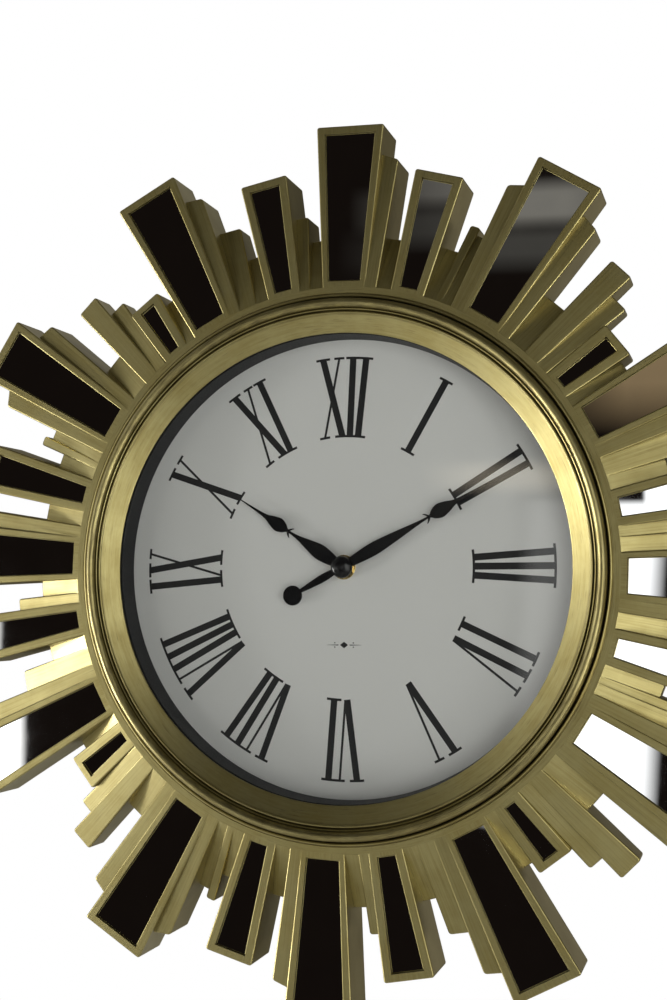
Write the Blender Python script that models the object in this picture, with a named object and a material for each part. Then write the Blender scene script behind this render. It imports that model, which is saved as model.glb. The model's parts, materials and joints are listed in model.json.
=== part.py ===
"""Sunburst wall clock with a two-hand quartz movement, one object for each separate piece.

The clock faces -Y with XII towards +Z. Its origin is on the hands' axis in the wall plane, so a
point's depth, its distance in front of the wall, is -Y. Sizes are in millimetres and angles in
degrees clockwise from XII as seen from the front; points become metres where they enter a mesh.
"""

import math

import bmesh
import bpy
from mathutils import Vector

MM = 0.001
GAP = 0.3  # clearance between pieces that touch on the real clock
RING_STEPS = 48  # facets round a large turned ring
SMALL_STEPS = 16  # facets round a shaft, a pipe or a nut

# Depths in front of the wall.
BACK_DEPTH = 8.6  # back of the sunburst and of the bezel
RING_DEPTH = 39.4  # flat ring that the bars spring from
DIAL_DEPTH = 18.1  # printed face of the dial
DIAL_THICKNESS = 1.8
LENS_THICKNESS = 2.0
LIP_BACK_DEPTH = 35.7  # underside of the bezel's lip, where the lens seats
CASE_DEPTH = 16.0  # front of the movement
CASE_SPLIT = 1.6  # joint between the movement's front case and rear cover

# Radii of the round stack.
SUNBURST_BORE = 154.2
REBATE_RADIUS = 157.5  # wider bore at the back, for the shoulder of the bezel
REBATE_DEPTH = 20.3  # the step in the bore
RING_RADIUS = 160.2
RIDGE = ((156.6, 39.4), (155.6, 40.6), (154.9, 40.5))  # thin raised line round the bore, (radius, depth)
BEZEL_RADIUS = 153.7
SHOULDER_RADIUS = 157.0
LIP_RADIUS = 134.3
SEAT_RADIUS = 137.5  # bore behind the lip, which takes lens, rehaut and dial
REHAUT_RADIUS = 133.4
PAN_RADIUS = 176.0

# The sunburst's pattern fills a quarter turn and repeats. It is turned a little against the dial.
SUNBURST_TURN = 2.2
# Each bar: kind, start and end angle, tip radius at those two edges, depth of its tip's front.
QUARTER = (
    ("long", -4.55, 4.55, 256.0, 256.0, 37.9),
    ("bar", 4.55, 7.0, 239.5, 236.5, 34.3),
    ("web", 7.0, 10.0, 192.5, 192.5, 24.8),
    ("medium", 10.0, 17.2, 231.0, 231.0, 39.0),
    ("web", 17.2, 19.5, 192.5, 192.5, 24.8),
    ("bar", 19.5, 21.1, 209.5, 209.5, 23.6),
    ("bar", 21.1, 23.1, 205.5, 205.5, 20.9),
    ("bar", 23.1, 25.45, 235.5, 239.8, 34.5),
    ("long", 25.45, 34.55, 256.0, 256.0, 37.9),
    ("bar", 34.55, 37.0, 239.5, 236.5, 34.3),
    ("web", 37.0, 40.9, 192.5, 192.5, 24.8),
    ("bar", 40.9, 44.6, 229.5, 229.5, 27.7),
    ("bar", 44.6, 47.2, 215.5, 215.5, 23.7),
    ("short", 47.2, 53.4, 201.8, 201.8, 31.4),
    ("bar", 53.4, 55.45, 195.5, 195.5, 22.5),
    ("long", 55.45, 64.55, 256.0, 256.0, 37.9),
    ("bar", 64.55, 67.05, 239.5, 236.5, 34.3),
    ("bar", 67.05, 70.7, 215.5, 213.0, 24.9),
    ("web", 70.7, 73.4, 192.5, 192.5, 24.8),
    ("medium", 73.4, 80.6, 231.0, 231.0, 39.0),
    ("bar", 80.6, 82.7, 206.5, 206.5, 29.3),
    ("web", 82.7, 85.45, 192.5, 192.5, 24.8),
)
# Mirror pockets: radius and half angle at the inner end, then at the outer end.
POCKETS = {
    "long": (163.9, 3.45, 251.3, 3.52),
    "medium": (162.8, 1.95, 226.4, 2.4),
    "short": (162.8, 1.25, 197.6, 1.5),
}
ARC_PIECES = {"long": 3, "medium": 3, "short": 2}  # facets of the ring behind a wide bar
POCKET_DEPTH = 3.3
MIRROR_DEPTH = 1.2  # front of a mirror below the bar's front
MIRROR_THICKNESS = 1.8
MIRROR_BEVEL = (0.4, 0.25)  # width and depth of the ground edge

# Hands: rest angle, depth of the back face, bore and hub radius.
HAND_THICKNESS = 0.45
HOUR_HAND = {"angle": 302.7, "depth": 21.2, "bore": 2.7, "hub": 5.2}
MINUTE_HAND = {"angle": 61.4, "depth": 22.0, "bore": 1.69, "hub": 5.0}
# Half width of each hand against distance from the axis, through the leaf, spade and needle.
HOUR_OUTLINE = (
    (3.0, 2.2), (9.0, 3.7), (16.5, 4.5), (24.0, 3.1), (31.0, 1.5), (36.5, 0.8), (40.0, 0.9),
    (42.5, 2.7), (46.5, 4.1), (51.0, 3.1), (56.0, 1.4), (64.0, 0.7), (75.0, 0.25),
)
MINUTE_OUTLINE = (
    (3.0, 2.2), (10.0, 3.1), (22.0, 3.8), (36.0, 2.7), (48.0, 1.4), (56.0, 0.7), (59.5, 0.9),
    (62.0, 2.8), (66.0, 4.2), (71.0, 3.2), (76.5, 1.4), (86.0, 0.8), (100.5, 0.3),
)
TAIL_OUTLINE = ((3.0, 1.5), (12.0, 2.3), (20.0, 1.9), (31.0, 0.9))
COUNTERWEIGHT = (34.3, 5.8)  # distance from the axis and radius
CROSSBAR = {"half_span": 3.5, "curl": 2.4, "thickness": 1.3}
HOUR_CROSSBAR_AT = 39.4
MINUTE_CROSSBAR_AT = 58.8

# Movement: case rectangle, then the wheel train. Axes are (x, z).
CASE_BOX = (-28.0, -33.0, 28.0, 23.0)
CASE_WALL = 1.2
BAY_TOP = -16.7  # upper side of the battery bay
CELL_RADIUS = 7.1
CELL_AXIS = (-24.25, 7.65)  # z and depth
ARBOR_RADIUS = 1.6
PIPE_RADII = (1.69, 2.6)  # hour pipe
BUSH_RADII = (2.7, 4.0)  # threaded bush
PIVOT_RADIUS = 0.3
PIVOT_HOLE_RADIUS = 0.36
BRIDGE = (9.5, 10.3)  # plate between the going train and the motion work
MOTION_MODULE = 0.5
HOUR_MODULE = 0.4
TRAIN_MODULE = 0.2
TRAIN_LEAF = 0.26  # narrow pinion leaves, so that the fine teeth run free at every angle
CANNON_TEETH = 10
MINUTE_WHEEL_TEETH = 30
HOUR_PINION_TEETH = 10
HOUR_WHEEL_TEETH = 40
KNOB_TEETH = 12
CENTRE_WHEEL_TEETH = 75
TRAIN_WHEEL_TEETH = 72
TRAIN_PINION_TEETH = 6
MOTION_LAYER = (10.6, 11.6)
HOUR_LAYER = (12.2, 13.2)
CENTRE_LAYER = (8.2, 8.8)
THIRD_LAYER = (6.6, 7.2)
FOURTH_LAYER = (5.0, 5.6)
TO_MINUTE_WHEEL = 300.0  # bearings from one arbor to the next
TO_KNOB = 330.0
TO_THIRD = 75.0
TO_FOURTH = 30.0
TO_ROTOR = 110.0
COIL_Z = -11.2
COIL_DEPTH = 5.3

# Rear pan, its screws and the hanger.
SCREW_CIRCLE = 167.0
PAN_SCREW_ANGLES = (60.0, 180.0, 300.0)
HANGER_Z = 113.0
KEYHOLE_Z = 108.5
KEYHOLE_RADIUS = 5.2
SLOT_HALF_WIDTH = 2.4
SLOT_TOP = 117.0
HANGER_SCREW_X = 20.0


def clear_scene():
    for old in list(bpy.data.objects):
        bpy.data.objects.remove(old, do_unlink=True)


def make_material(name, colour, roughness, metallic=0.0, alpha=1.0):
    made = bpy.data.materials.new(name)
    made.use_nodes = True
    shader = made.node_tree.nodes["Principled BSDF"]
    shader.inputs["Base Color"].default_value = (*colour, 1.0)
    shader.inputs["Roughness"].default_value = roughness
    shader.inputs["Metallic"].default_value = metallic
    shader.inputs["Alpha"].default_value = alpha
    return made


clear_scene()
MATERIALS = {
    name: make_material(name, *look)
    for name, look in {
        "gold": ((0.50, 0.44, 0.22), 0.42, 0.55),
        "mirror": ((0.85, 0.86, 0.88), 0.03, 1.0),
        "lens": ((0.95, 0.97, 0.98), 0.03, 0.0, 0.3),
        "black_plastic": ((0.02, 0.02, 0.022), 0.45),
        "dial": ((0.72, 0.72, 0.70), 0.5),
        "black_paint": ((0.008, 0.008, 0.008), 0.35),
        "brass": ((0.72, 0.55, 0.22), 0.3, 1.0),
        "white_plastic": ((0.80, 0.79, 0.74), 0.4),
        "steel": ((0.55, 0.56, 0.58), 0.35, 1.0),
        "copper": ((0.60, 0.27, 0.12), 0.35, 0.9),
        "board": ((0.10, 0.25, 0.12), 0.5),
        "cell": ((0.16, 0.17, 0.19), 0.35, 0.3),
    }.items()
}


def at(x, z, depth):
    """The point in metres."""
    return Vector((x * MM, -depth * MM, z * MM))


def polar(radius, angle):
    """(x, z) of a point at this distance and clock angle from the axis."""
    turn = math.radians(angle)
    return radius * math.sin(turn), radius * math.cos(turn)


def add_object(name, faces, material, helper=False):
    """A closed mesh from faces given as lists of points in metres, with its normals facing out."""
    shape = bmesh.new()
    for face in faces:
        shape.faces.new([shape.verts.new(point) for point in face])
    bmesh.ops.remove_doubles(shape, verts=shape.verts, dist=2e-6)
    bmesh.ops.recalc_face_normals(shape, faces=shape.faces)
    mesh = bpy.data.meshes.new(name)
    shape.to_mesh(mesh)
    shape.free()
    mesh.materials.append(MATERIALS[material])
    mesh.shade_smooth()
    mesh.set_sharp_from_angle(angle=math.radians(32))
    made = bpy.data.objects.new(name, mesh)
    bpy.context.scene.collection.objects.link(made)
    if helper:
        made.hide_render = True
        made.display_type = "WIRE"
    return made


def prism_faces(outline, back, front):
    """An outline of (x, z) points drawn out from one depth to another."""
    low = [at(x, z, back) for x, z in outline]
    high = [at(x, z, front) for x, z in outline]
    sides = [
        [low[i - 1], low[i], high[i], high[i - 1]] for i in range(len(outline))
    ]
    return [low, high, *sides]


def turned_faces(profile, steps=SMALL_STEPS, axis=(0.0, 0.0)):
    """A closed profile of (radius, depth) points turned about an axis. Points at radius 0 are on it."""
    faces = []
    for i in range(steps):
        near, far = 360.0 * i / steps, 360.0 * (i + 1) / steps
        for j in range(len(profile)):
            (r0, d0), (r1, d1) = profile[j - 1], profile[j]
            corners = [(r0, near, d0), (r1, near, d1), (r1, far, d1), (r0, far, d0)]
            face = []
            for radius, angle, depth in corners:
                x, z = polar(radius, angle)
                point = at(axis[0] + x, axis[1] + z, depth)
                if all((point - other).length > 1e-7 for other in face):
                    face.append(point)
            if len(face) > 2:
                faces.append(face)
    return faces


def circle(radius, steps=SMALL_STEPS, centre=(0.0, 0.0), start=0.0):
    points = []
    for i in range(steps):
        x, z = polar(radius, start + 360.0 * i / steps)
        points.append((centre[0] + x, centre[1] + z))
    return points


def rectangle(x0, z0, x1, z1):
    return [(x0, z0), (x1, z0), (x1, z1), (x0, z1)]


def inset(outline, distance):
    """A convex outline with each side moved inwards."""
    count = len(outline)
    middle = Vector((sum(x for x, _ in outline) / count, sum(z for _, z in outline) / count))
    lines = []
    for i in range(count):
        start, end = Vector(outline[i]), Vector(outline[(i + 1) % count])
        normal = Vector((end.y - start.y, start.x - end.x)).normalized()
        if normal.dot(middle - start) < 0:
            normal = -normal
        lines.append((start + normal * distance, (end - start).normalized()))
    moved = []
    for i in range(count):
        (a, along), (b, other) = lines[i - 1], lines[i]
        reach = (b - a).cross(other) / along.cross(other)
        moved.append(tuple(a + along * reach))
    return moved


def with_boolean(target, operation, other):
    modifier = target.modifiers.new(operation.lower(), "BOOLEAN")
    modifier.operation = operation
    modifier.solver = "EXACT"
    modifier.object = other
    return target


def join(target, name, faces):
    """Joins a shape to the object, as one solid with it."""
    material = target.data.materials[0].name
    return with_boolean(target, "UNION", add_object(name, faces, material, helper=True))


def cut(target, name, faces):
    """Cuts a shape out of the object."""
    material = target.data.materials[0].name
    return with_boolean(target, "DIFFERENCE", add_object(name, faces, material, helper=True))


def set_on_axis(made, x, z):
    """Moves an object, and the shapes joined to it, so that its origin is on its own arbor."""
    for thing in [made, *(m.object for m in made.modifiers if m.type == "BOOLEAN")]:
        thing.location = (x * MM, 0.0, z * MM)


# Sunburst


def front_depth(bar, radius, angle):
    """Depth of the bar's front face, a plane from the ring down to the bar's tip."""
    _, start, end, tip_start, tip_end, tip_depth = bar
    middle, half = (start + end) / 2, math.radians(end - start) / 2
    near = RING_RADIUS * math.cos(half)
    far = (tip_start + tip_end) / 2 * math.cos(half)
    along = radius * math.cos(math.radians(angle - middle))
    return RING_DEPTH + (tip_depth - RING_DEPTH) * (along - near) / (far - near)


def pocket_outline(kind, middle):
    """Corners (radius, angle) of a mirror pocket, going round from the inner start corner."""
    inner, inner_half, outer, outer_half = POCKETS[kind]
    return [
        (inner, middle - inner_half),
        (inner, middle + inner_half),
        (outer, middle + outer_half),
        (outer, middle - outer_half),
    ]


def bar_front_faces(bar, point, arc):
    """The front of one bar: one face, or a border round a mirror pocket and the pocket itself."""
    kind, start, end, tip_start, tip_end, _ = bar
    tips = [
        point(tip_end, end, front_depth(bar, tip_end, end)),
        point(tip_start, start, front_depth(bar, tip_start, start)),
    ]
    if kind not in POCKETS:
        return [arc + tips]
    corners = pocket_outline(kind, (start + end) / 2)
    rim = [point(r, a, front_depth(bar, r, a)) for r, a in corners]
    floor = [point(r, a, front_depth(bar, r, a) - POCKET_DEPTH) for r, a in corners]
    border = [
        [*arc, rim[1], rim[0]],
        [arc[-1], tips[0], rim[2], rim[1]],
        [tips[0], tips[1], rim[3], rim[2]],
        [tips[1], arc[0], rim[0], rim[3]],
    ]
    walls = [[rim[i - 1], rim[i], floor[i], floor[i - 1]] for i in range(4)]
    return [*border, *walls, floor]


def sunburst_faces():
    """The whole ring of bars. Between neighbours stands the wall where one is above the other."""
    bars = []
    for quarter in range(4):
        turn = 90.0 * quarter + SUNBURST_TURN
        for kind, start, end, tip_start, tip_end, tip_depth in QUARTER:
            bars.append((kind, start + turn, end + turn, tip_start, tip_end, tip_depth))

    def point(radius, angle, depth):
        return at(*polar(radius, angle), depth)

    faces = []
    for i, bar in enumerate(bars):
        kind, start, end, tip_start, tip_end, _ = bar
        before, after = bars[i - 1], bars[(i + 1) % len(bars)]
        pieces = ARC_PIECES.get(kind, 1)
        angles = [start + (end - start) * j / pieces for j in range(pieces + 1)]
        arc = [point(RING_RADIUS, a, RING_DEPTH) for a in angles]
        bore = [arc]
        for radius, depth in (
            *RIDGE,
            (SUNBURST_BORE, RING_DEPTH),
            (SUNBURST_BORE, REBATE_DEPTH),
            (REBATE_RADIUS, REBATE_DEPTH),
            (REBATE_RADIUS, BACK_DEPTH),
        ):
            bore.append([point(radius, a, depth) for a in angles])
        for low, high in zip(bore, bore[1:]):
            for j in range(pieces):
                faces.append([low[j], low[j + 1], high[j + 1], high[j]])
        faces += bar_front_faces(bar, point, arc)
        foot_start = point(tip_start, start, BACK_DEPTH)
        foot_end = point(tip_end, end, BACK_DEPTH)
        faces.append([
            point(tip_start, start, front_depth(bar, tip_start, start)),
            point(tip_end, end, front_depth(bar, tip_end, end)),
            foot_end,
            foot_start,
        ])
        back = [*bore[-1], foot_end]
        if after[3] < tip_end:
            back.insert(-1, point(after[3], end, BACK_DEPTH))
        back.append(foot_start)
        if before[4] < tip_start:
            back.append(point(before[4], start, BACK_DEPTH))
        faces.append(back)
        high, low = (bar, after) if tip_end > after[3] else (after, bar)
        high_tip, low_tip = max(tip_end, after[3]), min(tip_end, after[3])
        turn = 360.0 if i + 1 == len(bars) else 0.0
        high_at = end - turn if high is after else end
        low_at = end - turn if low is after else end
        faces.append([
            arc[-1],
            point(high_tip, end, front_depth(high, high_tip, high_at)),
            point(high_tip, end, BACK_DEPTH),
            point(low_tip, end, BACK_DEPTH),
            point(low_tip, end, front_depth(low, low_tip, low_at)),
        ])
    return faces


def build_sunburst():
    made = add_object("sunburst_frame", sunburst_faces(), "gold")
    for number, angle in enumerate(PAN_SCREW_ANGLES, 1):
        hole = circle(1.75, 12, polar(SCREW_CIRCLE, angle), start=10.0)
        cut(made, f"pan_screw_hole_{number}", prism_faces(hole, BACK_DEPTH - 2, 18.5))


def mirror_faces(bar):
    """One insert: a glass plate with ground edges, lying parallel to the front of its bar."""
    kind, start, end = bar[:3]
    outline = [polar(r, a) for r, a in pocket_outline(kind, (start + end) / 2)]
    bevel_width, bevel_depth = MIRROR_BEVEL
    loops = []
    for distance, below in (
        (GAP, MIRROR_DEPTH + MIRROR_THICKNESS),
        (GAP, MIRROR_DEPTH + bevel_depth),
        (GAP + bevel_width, MIRROR_DEPTH),
    ):
        loop = []
        for x, z in inset(outline, distance):
            radius, angle = math.hypot(x, z), math.degrees(math.atan2(x, z))
            loop.append(at(x, z, front_depth(bar, radius, angle) - below))
        loops.append(loop)
    sides = [
        [low[i - 1], low[i], high[i], high[i - 1]]
        for low, high in zip(loops, loops[1:])
        for i in range(4)
    ]
    return [loops[0], loops[-1], *sides]


def build_mirrors():
    """The inserts of one kind share a mesh, made for a bar that points at XII."""
    for kind in POCKETS:
        middles = []
        for bar in QUARTER:
            if bar[0] == kind:
                middles.append((bar[1] + bar[2]) / 2)
                half = (bar[2] - bar[1]) / 2
                upright = (kind, -half, half, *bar[3:])
        angles = sorted(m + 90.0 * quarter for m in middles for quarter in range(4))
        first = add_object(f"mirror_{kind}_01", mirror_faces(upright), "mirror")
        for number, angle in enumerate(angles, 1):
            made = first
            if number > 1:
                made = bpy.data.objects.new(f"mirror_{kind}_{number:02d}", first.data)
                bpy.context.scene.collection.objects.link(made)
            made.rotation_euler = (0.0, math.radians(angle + SUNBURST_TURN), 0.0)


# Bezel, lens, rehaut and dial


def build_bezel():
    roll_middle, roll_half, roll_base, roll_rise = 150.5, 2.95, 40.3, 4.3
    roll = []
    for step in range(6):
        turn = math.pi * (1 - step / 5)
        roll.append((roll_middle + roll_half * math.cos(turn), roll_base + roll_rise * math.sin(turn)))
    profile = [
        (LIP_RADIUS, LIP_BACK_DEPTH),
        (LIP_RADIUS, 36.3),
        (144.4, 40.7),
        (144.9, 41.3),
        (145.8, 41.2),
        (146.3, 40.0),
        *roll,
        (BEZEL_RADIUS, 39.0),
        (BEZEL_RADIUS, REBATE_DEPTH - GAP),
        (SHOULDER_RADIUS, REBATE_DEPTH - GAP),
        (SHOULDER_RADIUS, BACK_DEPTH),
        (SEAT_RADIUS, BACK_DEPTH),
        (SEAT_RADIUS, LIP_BACK_DEPTH),
    ]
    add_object("bezel_ring", turned_faces(profile, RING_STEPS), "gold")


def build_dial_stack():
    lens_front = LIP_BACK_DEPTH - GAP
    lens_back = lens_front - LENS_THICKNESS
    stack_radius = SEAT_RADIUS - 0.5
    lens = [(0.0, lens_back), (stack_radius, lens_back), (stack_radius, lens_front), (0.0, lens_front)]
    add_object("lens_glass", turned_faces(lens, RING_STEPS), "lens")
    rehaut = [
        (REHAUT_RADIUS, DIAL_DEPTH + GAP),
        (stack_radius, DIAL_DEPTH + GAP),
        (stack_radius, lens_back - GAP),
        (REHAUT_RADIUS + 0.8, lens_back - GAP),
    ]
    add_object("rehaut_ring", turned_faces(rehaut, RING_STEPS), "black_plastic")
    dial = [
        (BUSH_RADII[1] + GAP, DIAL_DEPTH - DIAL_THICKNESS),
        (stack_radius, DIAL_DEPTH - DIAL_THICKNESS),
        (stack_radius, DIAL_DEPTH),
        (BUSH_RADII[1] + GAP, DIAL_DEPTH),
    ]
    add_object("dial_plate", turned_faces(dial, RING_STEPS), "dial")


# Hands


def smooth_widths(knots, pieces=3):
    """(distance, half width) points on a Catmull-Rom curve through the knots."""
    points = []
    for i in range(len(knots) - 1):
        p0, p1 = knots[max(i - 1, 0)], knots[i]
        p2, p3 = knots[i + 1], knots[min(i + 2, len(knots) - 1)]
        for step in range(pieces):
            t = step / pieces
            points.append(tuple(
                0.5 * (2 * b + (c - a) * t + (2 * a - 5 * b + 4 * c - d) * t * t
                       + (3 * b - a - 3 * c + d) * t ** 3)
                for a, b, c, d in zip(p0, p1, p2, p3)
            ))
    return [*points, knots[-1]]


def blade_outline(knots, angle):
    """Both edges of a blade that is symmetrical about a line at this angle."""
    widths = smooth_widths(knots)
    turn = math.radians(angle)
    along = Vector((math.sin(turn), math.cos(turn)))
    across = Vector((along.y, -along.x))
    one = [along * r + across * w for r, w in widths]
    other = [along * r - across * w for r, w in reversed(widths)]
    return [tuple(p) for p in one + other]


def crossbar_outline(distance, angle):
    """A crescent across the blade whose ends curl towards the hub."""
    half, curl, thick = CROSSBAR["half_span"], CROSSBAR["curl"], CROSSBAR["thickness"]
    turn = math.radians(angle)
    along = Vector((math.sin(turn), math.cos(turn)))
    across = Vector((along.y, -along.x))
    outer, inner = [], []
    for step in range(9):
        side = -1 + step / 4
        drop = curl * abs(side) ** 1.7
        body = thick * (1 - 0.75 * side * side) / 2
        outer.append(along * (distance - drop + body) + across * half * side)
        inner.append(along * (distance - drop - body) + across * half * side)
    return [tuple(p) for p in outer + inner[::-1]]


def build_hand(name, hand, outline, crossbar_at):
    back, front = hand["depth"], hand["depth"] + HAND_THICKNESS
    made = add_object(name, prism_faces(blade_outline(outline, hand["angle"]), back, front), "black_paint")
    crossbar = crossbar_outline(crossbar_at, hand["angle"])
    join(made, f"{name}_crossbar", prism_faces(crossbar, back, front))
    join(made, f"{name}_hub", prism_faces(circle(hand["hub"], 20), back, front))
    return made


def build_hands():
    hour = build_hand("hour_hand", HOUR_HAND, HOUR_OUTLINE, HOUR_CROSSBAR_AT)
    minute = build_hand("minute_hand", MINUTE_HAND, MINUTE_OUTLINE, MINUTE_CROSSBAR_AT)
    back, front = MINUTE_HAND["depth"], MINUTE_HAND["depth"] + HAND_THICKNESS
    tail_angle = MINUTE_HAND["angle"] + 180.0
    join(minute, "minute_hand_tail", prism_faces(blade_outline(TAIL_OUTLINE, tail_angle), back, front))
    distance, radius = COUNTERWEIGHT
    weight = circle(radius, 24, polar(distance, tail_angle))
    join(minute, "minute_hand_weight", prism_faces(weight, back, front))
    for hand, made in ((HOUR_HAND, hour), (MINUTE_HAND, minute)):
        bore = circle(hand["bore"], SMALL_STEPS)
        cut(made, f"{made.name}_bore", prism_faces(bore, hand["depth"] - 2, hand["depth"] + 2))


def build_hub_fittings():
    """Dome nut over the minute hand, and the nut and washer that hold the movement to the dial."""
    base = MINUTE_HAND["depth"] + HAND_THICKNESS + GAP
    dome_radius, dome_rise, wall_rise = 6.4, 3.2, 0.8
    dome = []
    for step in range(5):
        turn = math.pi / 2 * step / 5
        dome.append((dome_radius * math.cos(turn), base + wall_rise + dome_rise * math.sin(turn)))
    bore_top = base + 1.9
    profile = [
        (MINUTE_HAND["bore"], base),
        (dome_radius, base),
        *dome,
        (0.0, base + wall_rise + dome_rise),
        (0.0, bore_top),
        (MINUTE_HAND["bore"], bore_top),
    ]
    add_object("minute_cap_nut", turned_faces(profile, 24), "black_paint")

    bush = BUSH_RADII[1]
    washer_back = DIAL_DEPTH + GAP
    washer = [
        (bush + GAP, washer_back),
        (7.2, washer_back),
        (7.2, washer_back + 0.4),
        (6.9, washer_back + 0.6),
        (bush + GAP, washer_back + 0.6),
    ]
    add_object("dial_washer", turned_faces(washer, 24), "brass")
    nut_back = washer_back + 0.7
    nut = add_object("fixing_nut", prism_faces(circle(6.7, 6), nut_back, nut_back + 1.6), "brass")
    cut(nut, "fixing_nut_bore", prism_faces(circle(bush + 0.15, SMALL_STEPS), nut_back - 1, nut_back + 3))


# Movement case


def add_bearing(target, name, axis, boss_radius, hole_radius, boss, hole):
    """A boss with a blind hole for the end of an arbor."""
    join(target, f"{name}_boss", prism_faces(circle(boss_radius, 12, axis), *boss))
    cut(target, f"{name}_bearing", prism_faces(circle(hole_radius, 12, axis), *hole))


def build_case():
    x0, z0, x1, z1 = CASE_BOX
    box = rectangle(*CASE_BOX)
    front = add_object("movement_front_case", prism_faces(box, CASE_SPLIT, CASE_DEPTH), "black_plastic")
    wall = CASE_WALL
    train_room = rectangle(x0 + wall, BAY_TOP + wall, x1 - wall, z1 - wall)
    bay = rectangle(x0 + wall, z0 + wall, x1 - wall, BAY_TOP)
    cut(front, "train_room", prism_faces(train_room, CASE_SPLIT - 1, CASE_DEPTH - wall))
    cut(front, "battery_bay", prism_faces(bay, CASE_SPLIT - 1, CASE_DEPTH - 1.0))
    bush_hole = circle(BUSH_RADII[1] + 0.2, SMALL_STEPS)
    cut(front, "bush_hole", prism_faces(bush_hole, CASE_DEPTH - 3, CASE_DEPTH + 1))
    add_bearing(front, "minute_wheel", MINUTE_WHEEL_AXIS, 2.0, 0.88, (13.7, 15.0), (13.0, 14.7))
    add_bearing(front, "knob", KNOB_AXIS, 2.6, 1.6, (12.4, 15.0), (12.0, 14.6))

    cover_front = CASE_SPLIT - GAP
    cover = add_object("movement_rear_cover", prism_faces(box, 0.0, cover_front), "black_plastic")
    opening = rectangle(x0 + 2, z0 + 1.8, x1 - 2, BAY_TOP - 0.5)
    cut(cover, "battery_opening", prism_faces(opening, -1.0, 3.0))
    knob_x, knob_z = KNOB_AXIS
    cut(cover, "knob_opening", prism_faces(circle(6.6, 20, (knob_x, knob_z)), -1.0, 3.0))
    add_bearing(cover, "arbor", (0.0, 0.0), 1.6, 0.56, (1.0, 2.2), (1.45, 3.0))
    for name, axis in (("third", THIRD_AXIS), ("fourth", FOURTH_AXIS), ("rotor", ROTOR_AXIS)):
        add_bearing(cover, name, axis, 1.2, PIVOT_HOLE_RADIUS, (1.0, 2.2), (1.45, 3.0))

    inner, outer = BUSH_RADII
    flange_back = 13.6
    bush = [
        (inner, flange_back),
        (6.2, flange_back),
        (6.2, flange_back + 0.9),
        (outer, flange_back + 0.9),
        (outer, DIAL_DEPTH + 2.7),
        (inner, DIAL_DEPTH + 2.7),
    ]
    add_object("centre_bush", turned_faces(bush), "brass")


def build_bridge():
    """The plate that carries the front pivots of the going train and steadies the long arbors."""
    inside, low = CASE_BOX[2] - CASE_WALL - GAP, BAY_TOP + CASE_WALL + GAP
    outline = rectangle(-inside, low, inside, CASE_BOX[3] - CASE_WALL - GAP)
    bridge = add_object("train_bridge", prism_faces(outline, *BRIDGE), "white_plastic")
    for name, axis, radius, steps in (
        ("arbor", (0.0, 0.0), 1.69, SMALL_STEPS),
        ("minute_wheel", MINUTE_WHEEL_AXIS, 0.88, 12),
        ("knob", KNOB_AXIS, 1.6, 12),
        ("third", THIRD_AXIS, PIVOT_HOLE_RADIUS, 12),
        ("fourth", FOURTH_AXIS, PIVOT_HOLE_RADIUS, 12),
        ("rotor", ROTOR_AXIS, PIVOT_HOLE_RADIUS, 12),
    ):
        hole = circle(radius, steps, axis)
        cut(bridge, f"bridge_{name}_hole", prism_faces(hole, BRIDGE[0] - 1, BRIDGE[1] + 1))


# Wheels


def bearing_point(axis, bearing, distance):
    x, z = polar(distance, bearing)
    return axis[0] + x, axis[1] + z


def pitch_distance(teeth_a, teeth_b, module):
    return (teeth_a + teeth_b) * module / 2


MINUTE_WHEEL_AXIS = bearing_point(
    (0.0, 0.0), TO_MINUTE_WHEEL, pitch_distance(CANNON_TEETH, MINUTE_WHEEL_TEETH, MOTION_MODULE)
)
KNOB_AXIS = bearing_point(
    MINUTE_WHEEL_AXIS, TO_KNOB, pitch_distance(MINUTE_WHEEL_TEETH, KNOB_TEETH, MOTION_MODULE)
)
THIRD_AXIS = bearing_point(
    (0.0, 0.0), TO_THIRD, pitch_distance(CENTRE_WHEEL_TEETH, TRAIN_PINION_TEETH, TRAIN_MODULE)
)
TRAIN_STEP = pitch_distance(TRAIN_WHEEL_TEETH, TRAIN_PINION_TEETH, TRAIN_MODULE)
FOURTH_AXIS = bearing_point(THIRD_AXIS, TO_FOURTH, TRAIN_STEP)
ROTOR_AXIS = bearing_point(FOURTH_AXIS, TO_ROTOR, TRAIN_STEP)


def meshed_turn(turn, teeth, bearing, other_teeth):
    """Angle of the other gear's first tooth that puts it in mesh with a gear turned this far."""
    phase = (bearing - turn) * teeth / 360.0
    return bearing + 180.0 - (0.5 - phase) * 360.0 / other_teeth


def gear_outline(teeth, module, turn, leaf=0.40):
    """Straight-sided teeth, each a fraction leaf of the pitch wide, the first one at angle turn."""
    pitch = 360.0 / teeth
    middle = teeth * module / 2
    tip, root = middle + 0.8 * module, middle - 1.05 * module
    points = []
    for i in range(teeth):
        centre = turn + i * pitch
        for radius, offset in ((root, -0.62), (tip, -0.3), (tip, 0.3), (root, 0.62)):
            points.append(polar(radius, centre + offset * leaf * pitch))
    return points


def fine_gear_outline(teeth, module, turn):
    """Small pointed teeth, for the wheels of the going train."""
    pitch = 360.0 / teeth
    middle = teeth * module / 2
    points = []
    for i in range(teeth):
        points.append(polar(middle - 1.1 * module, turn + (i - 0.5) * pitch))
        points.append(polar(middle + 0.7 * module, turn + i * pitch))
    return points


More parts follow.
